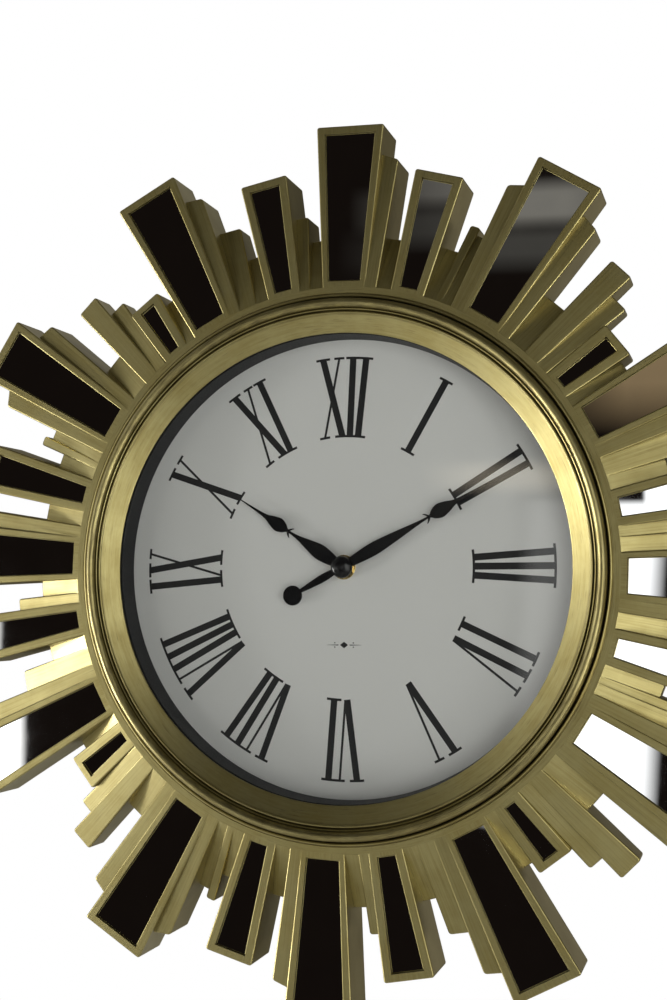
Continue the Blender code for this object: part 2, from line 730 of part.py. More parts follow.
def build_motion_work():
    """Cannon pinion, minute wheel and hour wheel, 12 to 1, and the knob that sets them."""
    motion_back, motion_front = MOTION_LAYER
    hour_back, hour_front = HOUR_LAYER
    arbor = [
        (0.0, 1.6),
        (0.5, 1.6),
        (0.5, 9.6),
        (ARBOR_RADIUS, 9.6),
        (ARBOR_RADIUS, 24.0),
        (0.0, 24.0),
    ]
    made = add_object("minute_arbor", turned_faces(arbor), "brass")
    cannon = gear_outline(CANNON_TEETH, MOTION_MODULE, 0.0)
    join(made, "cannon_pinion", prism_faces(cannon, motion_back, motion_front))

    turn = meshed_turn(0.0, CANNON_TEETH, TO_MINUTE_WHEEL, MINUTE_WHEEL_TEETH)
    wheel = gear_outline(MINUTE_WHEEL_TEETH, MOTION_MODULE, turn)
    made = add_object("minute_wheel", prism_faces(wheel, motion_back, motion_front), "white_plastic")
    pinion = gear_outline(HOUR_PINION_TEETH, HOUR_MODULE, 0.0)
    join(made, "minute_wheel_pinion", prism_faces(pinion, motion_front - 0.2, hour_front + 0.2))
    join(made, "minute_wheel_arbor", prism_faces(circle(0.8, 12), BRIDGE[0] + 0.1, 14.4))
    set_on_axis(made, *MINUTE_WHEEL_AXIS)

    knob_turn = meshed_turn(turn, MINUTE_WHEEL_TEETH, TO_KNOB, KNOB_TEETH)
    pinion = gear_outline(KNOB_TEETH, MOTION_MODULE, knob_turn)
    teeth = prism_faces(pinion, motion_back - 0.2, motion_front + 0.2)
    made = add_object("setting_knob", teeth, "white_plastic")
    join(made, "knob_stem", prism_faces(circle(1.5, 12), 1.8, 14.2))
    grip = []
    for i in range(48):
        grip.append(polar(6.0 if i % 4 < 2 else 5.5, 360.0 * i / 48))
    join(made, "knob_grip", prism_faces(grip, 0.4, 2.4))
    set_on_axis(made, *KNOB_AXIS)

    hour_turn = meshed_turn(0.0, HOUR_PINION_TEETH, TO_MINUTE_WHEEL - 180.0, HOUR_WHEEL_TEETH)
    wheel = gear_outline(HOUR_WHEEL_TEETH, HOUR_MODULE, hour_turn)
    made = add_object("hour_wheel", prism_faces(wheel, hour_back, hour_front), "white_plastic")
    join(made, "hour_pipe", prism_faces(circle(PIPE_RADII[1]), hour_front - 0.5, HOUR_HAND["depth"] + 0.5))
    cut(made, "hour_pipe_bore", prism_faces(circle(PIPE_RADII[0]), hour_back - 1, HOUR_HAND["depth"] + 2))


def build_wheel(name, axis, wheel_layer, wheel_turn, pinion_layer, pinion_turn, ends):
    """A train wheel with its pinion and pivots, as one solid."""
    wheel = fine_gear_outline(TRAIN_WHEEL_TEETH, TRAIN_MODULE, wheel_turn)
    made = add_object(name, prism_faces(wheel, *wheel_layer), "white_plastic")
    pinion = gear_outline(TRAIN_PINION_TEETH, TRAIN_MODULE, pinion_turn, TRAIN_LEAF)
    pinion_back, pinion_front = pinion_layer
    join(made, f"{name}_pinion", prism_faces(pinion, pinion_back - 0.15, pinion_front + 0.15))
    join(made, f"{name}_pivot", prism_faces(circle(PIVOT_RADIUS, 8), *ends))
    set_on_axis(made, *axis)


def build_going_train():
    """Rotor, fourth, third and centre wheel: 1800 turns of the rotor to one of the centre wheel."""
    centre_back, centre_front = CENTRE_LAYER
    wheel = fine_gear_outline(CENTRE_WHEEL_TEETH, TRAIN_MODULE, 0.0)
    made = add_object("centre_wheel", prism_faces(wheel, centre_back, centre_front), "white_plastic")
    join(made, "centre_wheel_hub", prism_faces(circle(1.4), centre_back - 0.5, centre_front + 0.5))
    cut(made, "centre_wheel_bore", prism_faces(circle(0.6, 12), centre_back - 2, centre_front + 2))

    third_pinion = meshed_turn(0.0, CENTRE_WHEEL_TEETH, TO_THIRD, TRAIN_PINION_TEETH)
    build_wheel("third_wheel", THIRD_AXIS, THIRD_LAYER, 0.0, CENTRE_LAYER, third_pinion, (1.6, 10.2))
    fourth_pinion = meshed_turn(0.0, TRAIN_WHEEL_TEETH, TO_FOURTH, TRAIN_PINION_TEETH)
    build_wheel("fourth_wheel", FOURTH_AXIS, FOURTH_LAYER, 0.0, THIRD_LAYER, fourth_pinion, (1.6, 10.2))

    rotor_turn = meshed_turn(0.0, TRAIN_WHEEL_TEETH, TO_ROTOR, TRAIN_PINION_TEETH)
    made = add_object("rotor", prism_faces(circle(2.2, 20), 2.5, 4.5), "steel")
    pinion = gear_outline(TRAIN_PINION_TEETH, TRAIN_MODULE, rotor_turn, TRAIN_LEAF)
    join(made, "rotor_pinion", prism_faces(pinion, FOURTH_LAYER[0] - 0.15, FOURTH_LAYER[1] + 0.15))
    join(made, "rotor_pivot", prism_faces(circle(PIVOT_RADIUS, 8), 1.6, 10.2))
    set_on_axis(made, *ROTOR_AXIS)


# Motor, electronics and cell


def build_motor():
    stator_back, stator_front = 3.0, 4.0
    legs = [
        (1.0, -13.5), (5.5, -13.5), (5.5, -9.5), (14.5, 1.0), (21.0, 1.0), (21.5, -9.5),
        (21.5, -13.5), (26.0, -13.5), (26.0, 10.5), (14.4, 10.5), (10.5, 1.0), (1.0, -8.5),
    ]
    stator = add_object("stator_plate", prism_faces(legs, stator_back, stator_front), "steel")
    cut(stator, "rotor_hole", prism_faces(circle(2.75, 20, ROTOR_AXIS), stator_back - 1, stator_front + 1))

    half_core = 1.5
    core = rectangle(1.4, COIL_Z - half_core, 25.6, COIL_Z + half_core)
    add_object("coil_core", prism_faces(core, COIL_DEPTH - 1.0, COIL_DEPTH + 1.0), "steel")
    coil_left, coil_right, flange = 7.0, 21.0, 1.0
    radii = [(3.4, coil_left), (3.4, coil_left + flange), (3.0, coil_left + flange),
             (3.0, coil_right - flange), (3.4, coil_right - flange), (3.4, coil_right)]
    faces = x_turned_faces(radii, COIL_Z, COIL_DEPTH)
    coil = add_object("coil", faces, "copper")
    window = rectangle(coil_left - 1, COIL_Z - half_core - GAP, coil_right + 1, COIL_Z + half_core + GAP)
    cut(coil, "coil_window", prism_faces(window, COIL_DEPTH - 1.0 - GAP, COIL_DEPTH + 1.0 + GAP))


def x_turned_faces(profile, z, depth, steps=16):
    """A solid turned about a line along X. The profile is (radius, x) from end to end."""
    full = [(0.0, profile[0][1]), *profile, (0.0, profile[-1][1])]
    faces = []
    for i in range(steps):
        near, far = 2 * math.pi * i / steps, 2 * math.pi * (i + 1) / steps
        for (r0, x0), (r1, x1) in zip(full, full[1:]):
            face = []
            for radius, x, turn in ((r0, x0, near), (r1, x1, near), (r1, x1, far), (r0, x0, far)):
                point = at(x, z + radius * math.sin(turn), depth + radius * math.cos(turn))
                if all((point - other).length > 1e-7 for other in face):
                    face.append(point)
            if len(face) > 2:
                faces.append(face)
    return faces


def build_electronics():
    board = rectangle(-25.8, -15.0, -4.0, -4.5)
    made = add_object("circuit_board", prism_faces(board, 3.4, 4.4), "board")
    crystal = [(1.0, -22.0), (1.0, -15.5)]
    join(made, "crystal_can", x_turned_faces(crystal, -7.5, 5.2, 10))
    join(made, "chip", prism_faces(circle(2.6, 16, (-10.0, -10.0)), 4.2, 5.4))

    cell_z, cell_depth = CELL_AXIS
    cell = [(CELL_RADIUS - 0.6, -24.6), (CELL_RADIUS, -24.1), (CELL_RADIUS, 23.4),
            (CELL_RADIUS - 0.6, 23.9), (2.7, 23.9), (2.7, 25.2)]
    add_object("aa_cell", x_turned_faces(cell, cell_z, cell_depth, 20), "cell")
    inside = CASE_BOX[2] - CASE_WALL
    for name, side, reach in (("positive_contact", 1.0, 25.5), ("negative_contact", -1.0, 24.9)):
        plate = [(side * (inside - GAP), cell_z - 4.0), (side * (inside - GAP), cell_z + 4.0),
                 (side * (inside - 0.7), cell_z + 4.0), (side * reach, cell_z + 1.0),
                 (side * reach, cell_z - 1.0), (side * (inside - 0.7), cell_z - 4.0)]
        add_object(name, prism_faces(plate, cell_depth - 4.0, cell_depth + 4.0), "steel")


# Rear pan and hanger


def build_rear_pan():
    plate, flange_back, flange_front = 2.2, 6.3, BACK_DEPTH - GAP
    rim_outer, rim_inner = 136.0, 133.0  # the ring that presses dial, rehaut and lens to the lip
    rim_front = DIAL_DEPTH - DIAL_THICKNESS - GAP
    profile = [
        (12.0, 0.0), (142.5, 0.0), (144.0, 1.2), (145.5, flange_back), (PAN_RADIUS, flange_back),
        (PAN_RADIUS, flange_front), (143.5, flange_front), (141.0, plate), (rim_outer, plate),
        (rim_outer, rim_front), (rim_inner, rim_front), (rim_inner, plate), (12.0, plate),
    ]
    pan = add_object("rear_pan", turned_faces(profile, RING_STEPS), "black_plastic")
    x0, z0, x1, z1 = CASE_BOX
    cut(pan, "movement_opening", prism_faces(rectangle(x0 - 0.6, z0 - 0.6, x1 + 0.6, z1 + 0.6), -2.0, 5.0))
    cut(pan, "hanger_opening", prism_faces(rectangle(-14.0, 102.0, 14.0, 121.0), -2.0, 5.0))
    for number, angle in enumerate(PAN_SCREW_ANGLES, 1):
        x, z = polar(SCREW_CIRCLE, angle)
        cut(pan, f"pan_hole_{number}", prism_faces(circle(1.8, 12, (x, z), start=10.0), 4.0, 12.0))
        build_screw(f"pan_screw_{number}", (x, z), (2.3, 3.1), flange_back - GAP, 17.0)
    for number, side in enumerate((-1.0, 1.0), 1):
        centre = (side * HANGER_SCREW_X, HANGER_Z)
        sink = [(0.0, -1.0), (3.9, -1.0), (3.5, 0.0), (1.8, 1.75), (1.8, 5.0), (0.0, 5.0)]
        cut(pan, f"hanger_sink_{number}", turned_faces(sink, 12, centre))
        profile = [(0.0, 0.2), (3.0, 0.2), (1.4, 1.8), (1.4, 5.6), (0.0, 6.4)]
        made = add_object(f"hanger_screw_{number}", turned_faces(profile, 12), "steel")
        set_on_axis(made, *centre)


def build_screw(name, axis, head_radii, head_front, end):
    """A self-tapping screw with a domed head, put in from behind."""
    top, base = head_radii
    profile = [
        (0.0, head_front - 2.2), (top, head_front - 1.9), (base, head_front - 1.0), (base, head_front),
        (1.4, head_front), (1.4, end - 1.5), (0.0, end),
    ]
    set_on_axis(add_object(name, turned_faces(profile, 12), "steel"), *axis)


def build_hanger():
    """Steel strip in front of the pan's opening, with a keyhole for the head of a nail."""
    back, front = 2.5, 3.7
    strip = rectangle(-25.0, HANGER_Z - 12.0, 25.0, HANGER_Z + 11.0)
    hanger = add_object("hanger_plate", prism_faces(strip, back, front), "steel")
    slot = []
    for step in range(9):
        x, z = polar(SLOT_HALF_WIDTH, -90.0 + 180.0 * step / 8)
        slot.append((x, SLOT_TOP + z))
    start = math.degrees(math.asin(SLOT_HALF_WIDTH / KEYHOLE_RADIUS))
    for step in range(13):
        x, z = polar(KEYHOLE_RADIUS, start + (360.0 - 2 * start) * step / 12)
        slot.append((x, KEYHOLE_Z + z))
    cut(hanger, "keyhole", prism_faces(slot, back - 1, front + 1))
    for side in (-1.0, 1.0):
        hole = circle(1.7, 12, (side * HANGER_SCREW_X, HANGER_Z))
        cut(hanger, f"hanger_hole_{side:+.0f}", prism_faces(hole, back - 1, front + 1))


build_sunburst()
build_mirrors()
build_bezel()
build_dial_stack()
build_hands()
build_hub_fittings()
build_case()
build_bridge()
build_motion_work()
build_going_train()
build_motor()
build_electronics()
build_rear_pan()
build_hanger()
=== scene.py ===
"""Looks of the sunburst wall clock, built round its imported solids.

Points are given as on the part itself: x and z in millimetres, depth in millimetres in front of the
wall (so y is -depth), and angles in degrees clockwise from XII as seen from the front.
"""

import json
import math

import bmesh
import bpy
from mathutils import Euler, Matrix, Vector


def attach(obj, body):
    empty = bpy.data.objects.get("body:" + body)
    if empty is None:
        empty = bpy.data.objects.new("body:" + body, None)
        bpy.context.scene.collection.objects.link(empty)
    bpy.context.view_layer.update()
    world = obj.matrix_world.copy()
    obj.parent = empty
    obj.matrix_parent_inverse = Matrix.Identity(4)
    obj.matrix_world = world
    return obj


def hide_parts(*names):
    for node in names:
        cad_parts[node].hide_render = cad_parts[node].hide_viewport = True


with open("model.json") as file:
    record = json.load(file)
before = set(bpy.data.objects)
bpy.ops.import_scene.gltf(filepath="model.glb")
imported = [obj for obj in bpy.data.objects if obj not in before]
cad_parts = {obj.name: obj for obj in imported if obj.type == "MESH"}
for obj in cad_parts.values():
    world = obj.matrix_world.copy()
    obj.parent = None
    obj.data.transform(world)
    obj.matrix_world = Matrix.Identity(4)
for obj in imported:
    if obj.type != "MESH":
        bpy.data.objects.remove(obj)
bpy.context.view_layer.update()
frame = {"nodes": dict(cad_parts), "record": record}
MM = 0.001
BODY = "clock_body"

# The round stack, as on the solids.
RING_RADIUS = 160.2
RING_DEPTH = 39.4
BACK_DEPTH = 8.6
SUNBURST_BORE = 154.2
REBATE_RADIUS = 157.5
REBATE_DEPTH = 20.3
DIAL_DEPTH = 18.1
LENS_BACK_DEPTH = 33.4
REHAUT_RADIUS = 133.4
STACK_RADIUS = 137.0
ROUND_STEPS = 240

# The sunburst: kind, start and end angle, tip radius at both edges, depth of the tip's front.
SUNBURST_TURN = 2.2
QUARTER = (
    ("long", -4.55, 4.55, 256.0, 256.0, 37.9),
    ("bar", 4.55, 7.0, 239.5, 236.5, 34.3),
    ("web", 7.0, 10.0, 192.5, 192.5, 24.8),
    ("medium", 10.0, 17.2, 231.0, 231.0, 39.0),
    ("web", 17.2, 19.5, 192.5, 192.5, 24.8),
    ("bar", 19.5, 21.1, 209.5, 209.5, 23.6),
    ("bar", 21.1, 23.1, 205.5, 205.5, 20.9),
    ("bar", 23.1, 25.45, 235.5, 239.8, 34.5),
    ("long", 25.45, 34.55, 256.0, 256.0, 37.9),
    ("bar", 34.55, 37.0, 239.5, 236.5, 34.3),
    ("web", 37.0, 40.9, 192.5, 192.5, 24.8),
    ("bar", 40.9, 44.6, 229.5, 229.5, 27.7),
    ("bar", 44.6, 47.2, 215.5, 215.5, 23.7),
    ("short", 47.2, 53.4, 201.8, 201.8, 31.4),
    ("bar", 53.4, 55.45, 195.5, 195.5, 22.5),
    ("long", 55.45, 64.55, 256.0, 256.0, 37.9),
    ("bar", 64.55, 67.05, 239.5, 236.5, 34.3),
    ("bar", 67.05, 70.7, 215.5, 213.0, 24.9),
    ("web", 70.7, 73.4, 192.5, 192.5, 24.8),
    ("medium", 73.4, 80.6, 231.0, 231.0, 39.0),
    ("bar", 80.6, 82.7, 206.5, 206.5, 29.3),
    ("web", 82.7, 85.45, 192.5, 192.5, 24.8),
)
POCKETS = {
    "long": (163.9, 3.45, 251.3, 3.52),
    "medium": (162.8, 1.95, 226.4, 2.4),
    "short": (162.8, 1.25, 197.6, 1.5),
}
POCKET_DEPTH = 3.3
CLEAR_OF_FRONT = 2.0  # how far a cutter stands out of what it cuts

# Numerals and hands.
NUMERAL_OUTER = 122.7
NUMERAL_INNER = 76.6
THICK_STROKE = 3.9
THIN_STROKE = 1.35
SERIF = 1.4
HAND_THICKNESS = 0.45
HOUR_HAND = {"angle": 302.7, "depth": 21.2, "bore": 2.7, "hub": 5.2}
MINUTE_HAND = {"angle": 61.4, "depth": 22.0, "bore": 1.69, "hub": 5.0}


def at(x, z, depth):
    return Vector((x * MM, -depth * MM, z * MM))


def polar(radius, angle):
    turn = math.radians(angle)
    return radius * math.sin(turn), radius * math.cos(turn)


def link(name, mesh, material=None):
    made = bpy.data.objects.new(name, mesh)
    bpy.context.scene.collection.objects.link(made)
    if material:
        mesh.materials.clear()
        mesh.materials.append(material)
    return made


def mesh_of(name, shape):
    bmesh.ops.remove_doubles(shape, verts=shape.verts, dist=1e-7)
    bmesh.ops.recalc_face_normals(shape, faces=shape.faces)
    mesh = bpy.data.meshes.new(name)
    shape.to_mesh(mesh)
    shape.free()
    return mesh


def smooth(made, angle=34.0):
    made.data.shade_smooth()
    made.data.set_sharp_from_angle(angle=math.radians(angle))
    made.modifiers.new("weighted", "WEIGHTED_NORMAL").keep_sharp = True


def skin(shape, rows):
    """Closes a solid over rows of vertices: a cap at each end and sides between neighbouring rows."""
    shape.faces.new(rows[0])
    shape.faces.new(rows[-1])
    for low, high in zip(rows, rows[1:]):
        for i in range(len(low)):
            shape.faces.new([low[i - 1], low[i], high[i], high[i - 1]])
    bmesh.ops.recalc_face_normals(shape, faces=shape.faces)
    return shape


def prism_shape(outline, back, front):
    shape = bmesh.new()
    low = [shape.verts.new(at(x, z, back)) for x, z in outline]
    high = [shape.verts.new(at(x, z, front)) for x, z in outline]
    return skin(shape, [low, high])


def turned_shape(profile, steps=ROUND_STEPS):
    """A closed profile of (radius, depth) points turned about the axis. Radius 0 is on the axis."""
    shape = bmesh.new()
    rings = []
    for radius, depth in profile:
        if radius < 1e-6:
            rings.append([shape.verts.new(at(0.0, 0.0, depth))] * steps)
            continue
        ring = []
        for i in range(steps):
            x, z = polar(radius, 360.0 * i / steps)
            ring.append(shape.verts.new(at(x, z, depth)))
        rings.append(ring)
    for low, high in zip(rings, rings[1:] + rings[:1]):
        for i in range(steps):
            corners = list(dict.fromkeys([low[i - 1], low[i], high[i], high[i - 1]]))
            if len(corners) > 2:
                shape.faces.new(corners)
    bmesh.ops.recalc_face_normals(shape, faces=shape.faces)
    return shape


def combine(target, operation, shapes):
    """Joins shapes to the object or cuts them from it, and keeps the result as its mesh."""
    helpers = bpy.data.collections.new("helpers")
    others = []
    for i, shape in enumerate(shapes):
        other = bpy.data.objects.new(f"helper_{i}", mesh_of(f"helper_{i}", shape))
        helpers.objects.link(other)
        others.append(other)
    bpy.context.scene.collection.children.link(helpers)
    for other in others:
        modifier = target.modifiers.new("shape", "BOOLEAN")
        modifier.object = other
        modifier.operation = operation
        modifier.solver = "MANIFOLD"
    bpy.context.view_layer.update()
    graph = bpy.context.evaluated_depsgraph_get()
    mesh = bpy.data.meshes.new_from_object(target.evaluated_get(graph))
    target.modifiers.clear()
    target.data = mesh
    for other in others:
        bpy.data.objects.remove(other)
    bpy.data.collections.remove(helpers)
    return target


# Materials


class Tree:
    """A node tree, with short calls to add nodes and join them."""

    def __init__(self, tree):
        self.tree = tree

    def feed(self, socket, value):
        """Joins the value to the socket or sets it there. A colour is given as three numbers."""
        if isinstance(value, bpy.types.NodeSocket):
            self.tree.links.new(value, socket)
        else:
            socket.default_value = (*value, 1.0) if isinstance(value, tuple) else value

    def add(self, kind, inputs=(), **settings):
        node = self.tree.nodes.new(kind)
        for name, value in settings.items():
            setattr(node, name, value)
        for key, value in dict(inputs).items():
            self.feed(node.inputs[key], value)
        return node

    def math(self, operation, a, b=0.0, c=0.0):
        return self.add("ShaderNodeMath", {0: a, 1: b, 2: c}, operation=operation).outputs[0]

    def mix(self, share, a, b):
        return self.add("ShaderNodeMix", {0: share, 6: a, 7: b}, data_type="RGBA").outputs[2]

    def ramp(self, value, low, high, to_low=0.0, to_high=1.0):
        inputs = {0: value, 1: low, 2: high, 3: to_low, 4: to_high}
        return self.add("ShaderNodeMapRange", inputs).outputs[0]


class Nodes(Tree):
    """A material's node tree."""

    def __init__(self, name):
        self.material = bpy.data.materials.new(name)
        self.material.use_nodes = True
        super().__init__(self.material.node_tree)
        self.shader = self.tree.nodes["Principled BSDF"]

    def set(self, **values):
        for name, value in values.items():
            self.feed(self.shader.inputs[name.replace("_", " ")], value)

    def position(self):
        return self.add("ShaderNodeTexCoord").outputs["Object"]

    def place(self):
        """The position's x, y and z, and its distance from the clock's axis."""
        x, y, z = self.add("ShaderNodeSeparateXYZ", {0: self.position()}).outputs
        square = self.math("MULTIPLY_ADD", x, x, self.math("MULTIPLY", z, z))
        return x, y, z, self.math("SQRT", square)

    def noise(self, vector, scale, detail=2.0, roughness=0.5):
        inputs = {"Vector": vector, "Scale": scale, "Detail": detail, "Roughness": roughness}
        return self.add("ShaderNodeTexNoise", inputs).outputs[0]

    def streaks(self, around, outward, detail=2.0, shift=0.0):
        """Noise drawn out along one direction: around and outward are its frequencies per metre."""
        x, y, z, radius = self.place()
        flat = self.add("ShaderNodeCombineXYZ", {0: x, 1: 0.0, 2: z}).outputs[0]
        facing = self.add("ShaderNodeVectorMath", {0: flat}, operation="NORMALIZE").outputs[0]
        turned = self.add("ShaderNodeVectorMath", {0: facing, 3: around}, operation="SCALE").outputs[0]
        slant = self.math("MULTIPLY_ADD", y, STREAK_SLANT, shift)
        along = self.math("MULTIPLY", self.math("ADD", radius, slant), outward)
        inputs = {"Vector": turned, "W": along, "Scale": 1.0, "Detail": detail, "Roughness": 0.6}
        return self.add("ShaderNodeTexNoise", inputs, noise_dimensions="4D").outputs[0]

    def bump(self, height, strength, distance, edge=0.0):
        """Relief, over edges that shade as if rounded where an edge radius is given."""
        inputs = {"Height": height, "Strength": strength, "Distance": distance}
        if edge:
            inputs["Normal"] = self.add("ShaderNodeBevel", {"Radius": edge}, samples=4).outputs[0]
        return self.add("ShaderNodeBump", inputs).outputs[0]


GOLD_LIGHT = (0.42, 0.362, 0.142)
GOLD_MID = (0.315, 0.257, 0.078)
# brown of the glazing: used for the worn-thin streaks, and also as painted shade in the hollows and grooves
GLAZE_AND_SHADE = (0.060, 0.041, 0.012)
# Where the brown glazing has stayed, deepened by painted shade in the rings' channels and grooves: radius,
# half width, softness and share of each band.
GLAZE_AND_SHADE_BANDS = (
    (144.1, 0.15, 0.3, 0.4),
    (146.3, 0.3, 0.35, 0.85),
    (147.9, 0.15, 0.3, 0.6),
    (153.9, 0.35, 0.4, 0.85),
    (156.5, 0.15, 0.2, 0.6),
)
ROLL_BAND = (150.9, 2.4, 0.6)
STREAK_SLANT = 0.7  # how far the streaks follow a wall's depth as well as its distance from the axis
FINE_STREAKS = 2.6  # how much finer the scratches are than the brush marks
# Brown glazing in the hollows, deepened by painted shade found by ambient occlusion: how far it reaches and
# how dark it gets.
HOLLOW_REACH = 3.0
HOLLOW_GLAZE_AND_SHADE = 0.75
HOLLOW_GLAZE_AND_SHADE_ON_RINGS = 0.35  # the rings' grooves have bands of their own


def gold_paint(name, around, outward, glaze_and_shade_bands=()):
    """Champagne-gold paint, brushed one way, over a brown glazing that has stayed in the hollows, with
    painted shade darkening the hollows and grooves.
    """
    made = Nodes(name)
    streak = made.streaks(around, outward, 3.0)
    fine = made.streaks(around * FINE_STREAKS, outward * FINE_STREAKS, 2.0, shift=0.37)
    patch = made.noise(made.position(), 45.0, 5.0, 0.6)
    worn = made.math("MULTIPLY_ADD", patch, 0.5, made.math("MULTIPLY", streak, 0.5))
    colour = made.mix(made.ramp(worn, 0.38, 0.60), GOLD_MID, GOLD_LIGHT)
    thin = made.ramp(fine, 0.42, 0.30, 0.0, 0.35)
    # Painted shade, in the brown of the glazing, where the ambient occlusion finds hollows: between crowded
    # bars, at steps and in crevices.
    reach = {"Distance": HOLLOW_REACH * MM}
    open_air = made.add("ShaderNodeAmbientOcclusion", reach, samples=6, only_local=True)
    hollow_share = HOLLOW_GLAZE_AND_SHADE_ON_RINGS if glaze_and_shade_bands else HOLLOW_GLAZE_AND_SHADE
    hollow = made.ramp(open_air.outputs["AO"], 0.62, 0.25, 0.0, hollow_share)
    # From here the worn-thin mask carries the painted shade of the hollows too.
    thin = made.math("MAXIMUM", thin, hollow)
    # Painted shade, in the brown of the glazing, in bands along the rings' channels and grooves; the
    # scratches on the roll are wear.
    if glaze_and_shade_bands:
        radius = made.place()[3]
        band_glaze_and_shade = 0.0
        for middle, half, soft, share in glaze_and_shade_bands:
            away = made.math("ABSOLUTE", made.math("SUBTRACT", radius, middle * MM))
            near = made.ramp(away, (half + soft) * MM, half * MM, 0.0, share)
            band_glaze_and_shade = made.math("MAXIMUM", band_glaze_and_shade, near)
        middle, half, soft = ROLL_BAND
        away = made.math("ABSOLUTE", made.math("SUBTRACT", radius, middle * MM))
        on_roll = made.ramp(away, (half + soft) * MM, half * MM)
        scratched = made.math("MULTIPLY", made.ramp(fine, 0.60, 0.40), 0.7)
        band_glaze_and_shade = made.math("MAXIMUM", band_glaze_and_shade, made.math("MULTIPLY", on_roll, scratched))
        band_glaze_and_shade = made.math("MULTIPLY", band_glaze_and_shade, made.ramp(worn, 0.62, 0.42, 0.45, 1.0))
        # The worn-thin mask now carries the painted shade of the grooves too.
        thin = made.math("MAXIMUM", thin, band_glaze_and_shade)
    # brown over the worn-thin streaks (wear) and over the hollows and grooves (painted shade)
    colour = made.mix(thin, colour, GLAZE_AND_SHADE)
    grain = made.noise(made.position(), 1700.0, 2.0)
    height = made.math("MULTIPLY_ADD", fine, 0.5, streak)
    height = made.math("MULTIPLY_ADD", grain, 0.3, height)
    made.set(
        Base_Color=colour,
        Metallic=0.95,
        Roughness=made.ramp(worn, 0.3, 0.7, 0.42, 0.32),
        Coat_Weight=0.7,
        Coat_Roughness=0.38,
        Normal=made.bump(height, 0.24, 0.0001),
    )
    return made.material


MIRROR_DIM = (0.80, 0.81, 0.83)
MIRROR_BRIGHT = (0.86, 0.87, 0.88)


def mirror_glass():
    made = Nodes("mirror_glass")
    haze = made.noise(made.position(), 55.0, 3.0)
    made.set(
        Base_Color=made.mix(made.ramp(haze, 0.35, 0.7), MIRROR_DIM, MIRROR_BRIGHT),
        Metallic=1.0,
        Roughness=made.ramp(haze, 0.3, 0.75, 0.008, 0.03),
    )
    return made.material


def clear_glass():
    """Sheet glass as a thin clear surface that shines by its Fresnel reflection."""
    made = Nodes("clear_glass")
    tree = made.tree
    tree.nodes.remove(made.shader)
    smear = made.noise(made.position(), 30.0, 3.0)
    fresnel = made.add("ShaderNodeFresnel", {"IOR": 1.5}).outputs[0]
    gloss = made.add("ShaderNodeBsdfGlossy", {"Roughness": made.ramp(smear, 0.4, 0.8, 0.0, 0.02)})
    clear = made.add("ShaderNodeBsdfTransparent", {"Color": (0.985, 0.99, 0.985)})
    share = made.math("MULTIPLY", fresnel, 0.6)
    mixed = made.add("ShaderNodeMixShader", {0: share, 1: clear.outputs[0], 2: gloss.outputs[0]})
    tree.links.new(mixed.outputs[0], tree.nodes["Material Output"].inputs["Surface"])
    return made.material


def printed_dial():
    made = Nodes("printed_dial")
    tone = made.noise(made.position(), 14.0, 4.0)
    paper = made.noise(made.position(), 900.0, 3.0)
    made.set(
        Base_Color=made.mix(tone, (0.80, 0.80, 0.785), (0.835, 0.835, 0.82)),
        Roughness=made.ramp(paper, 0.3, 0.7, 0.5, 0.62),
        Normal=made.bump(paper, 0.12, 0.00003),
    )
    return made.material


def plain(name, colour, roughness, grain, bump=0.1, metallic=0.0, spread=0.12, edge=0.0):
    """A moulded, cast or painted surface: slight colour variation, grain in roughness and relief."""
    made = Nodes(name)
    tone = made.noise(made.position(), grain * 0.06, 3.0)
    fine = made.noise(made.position(), grain, 3.0)
    dark = tuple(c * (1.0 - spread) for c in colour)
    light = tuple(min(1.0, c * (1.0 + spread)) for c in colour)
    made.set(
        Base_Color=made.mix(made.ramp(tone, 0.3, 0.7), dark, light),
        Metallic=metallic,
        Roughness=made.ramp(fine, 0.3, 0.7, roughness * 0.85, min(1.0, roughness * 1.2)),
        Normal=made.bump(fine, bump, 0.0001, edge * MM),
    )
    return made.material


MATERIALS = {
    "gold_bars": gold_paint("gold_bars", 170.0, 12.0),
    "gold_rings": gold_paint("gold_rings", 6.0, 1100.0, GLAZE_AND_SHADE_BANDS),
    "mirror": mirror_glass(),
    "lens": clear_glass(),
    "dial": printed_dial(),
    "ink": plain("black_ink", (0.012, 0.012, 0.013), 0.42, 2500.0, 0.05),
    "black_paint": plain("black_lacquer", (0.006, 0.006, 0.007), 0.22, 900.0, 0.05),
    "black_plastic": plain("black_plastic", (0.018, 0.018, 0.02), 0.5, 1400.0, 0.5, edge=0.6),
    "rehaut": plain("rehaut_black", (0.008, 0.008, 0.010), 0.5, 1400.0, 0.3),
    "brass": plain("turned_brass", (0.78, 0.62, 0.30), 0.22, 700.0, 0.1, 1.0, edge=0.15),
    "white_plastic": plain("natural_acetal", (0.78, 0.77, 0.71), 0.4, 900.0, 0.1),
    "steel": plain("zinc_plated_steel", (0.60, 0.61, 0.63), 0.3, 600.0, 0.15, 1.0, edge=0.15),
    "copper": plain("enamelled_copper", (0.62, 0.27, 0.12), 0.3, 2600.0, 0.5, 0.9),
    "board": plain("circuit_board_green", (0.05, 0.20, 0.09), 0.4, 800.0, 0.15),
    "cell": plain("cell_sleeve", (0.13, 0.14, 0.16), 0.3, 500.0, 0.05, 0.3),
}


def finish_piece(made, material, slot, *replaced, body=BODY):
    made.data.materials.clear()
    made.data.materials.append(MATERIALS[material])
    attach(made, body)
    if replaced:
        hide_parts(*replaced)
    return made


# Sunburst


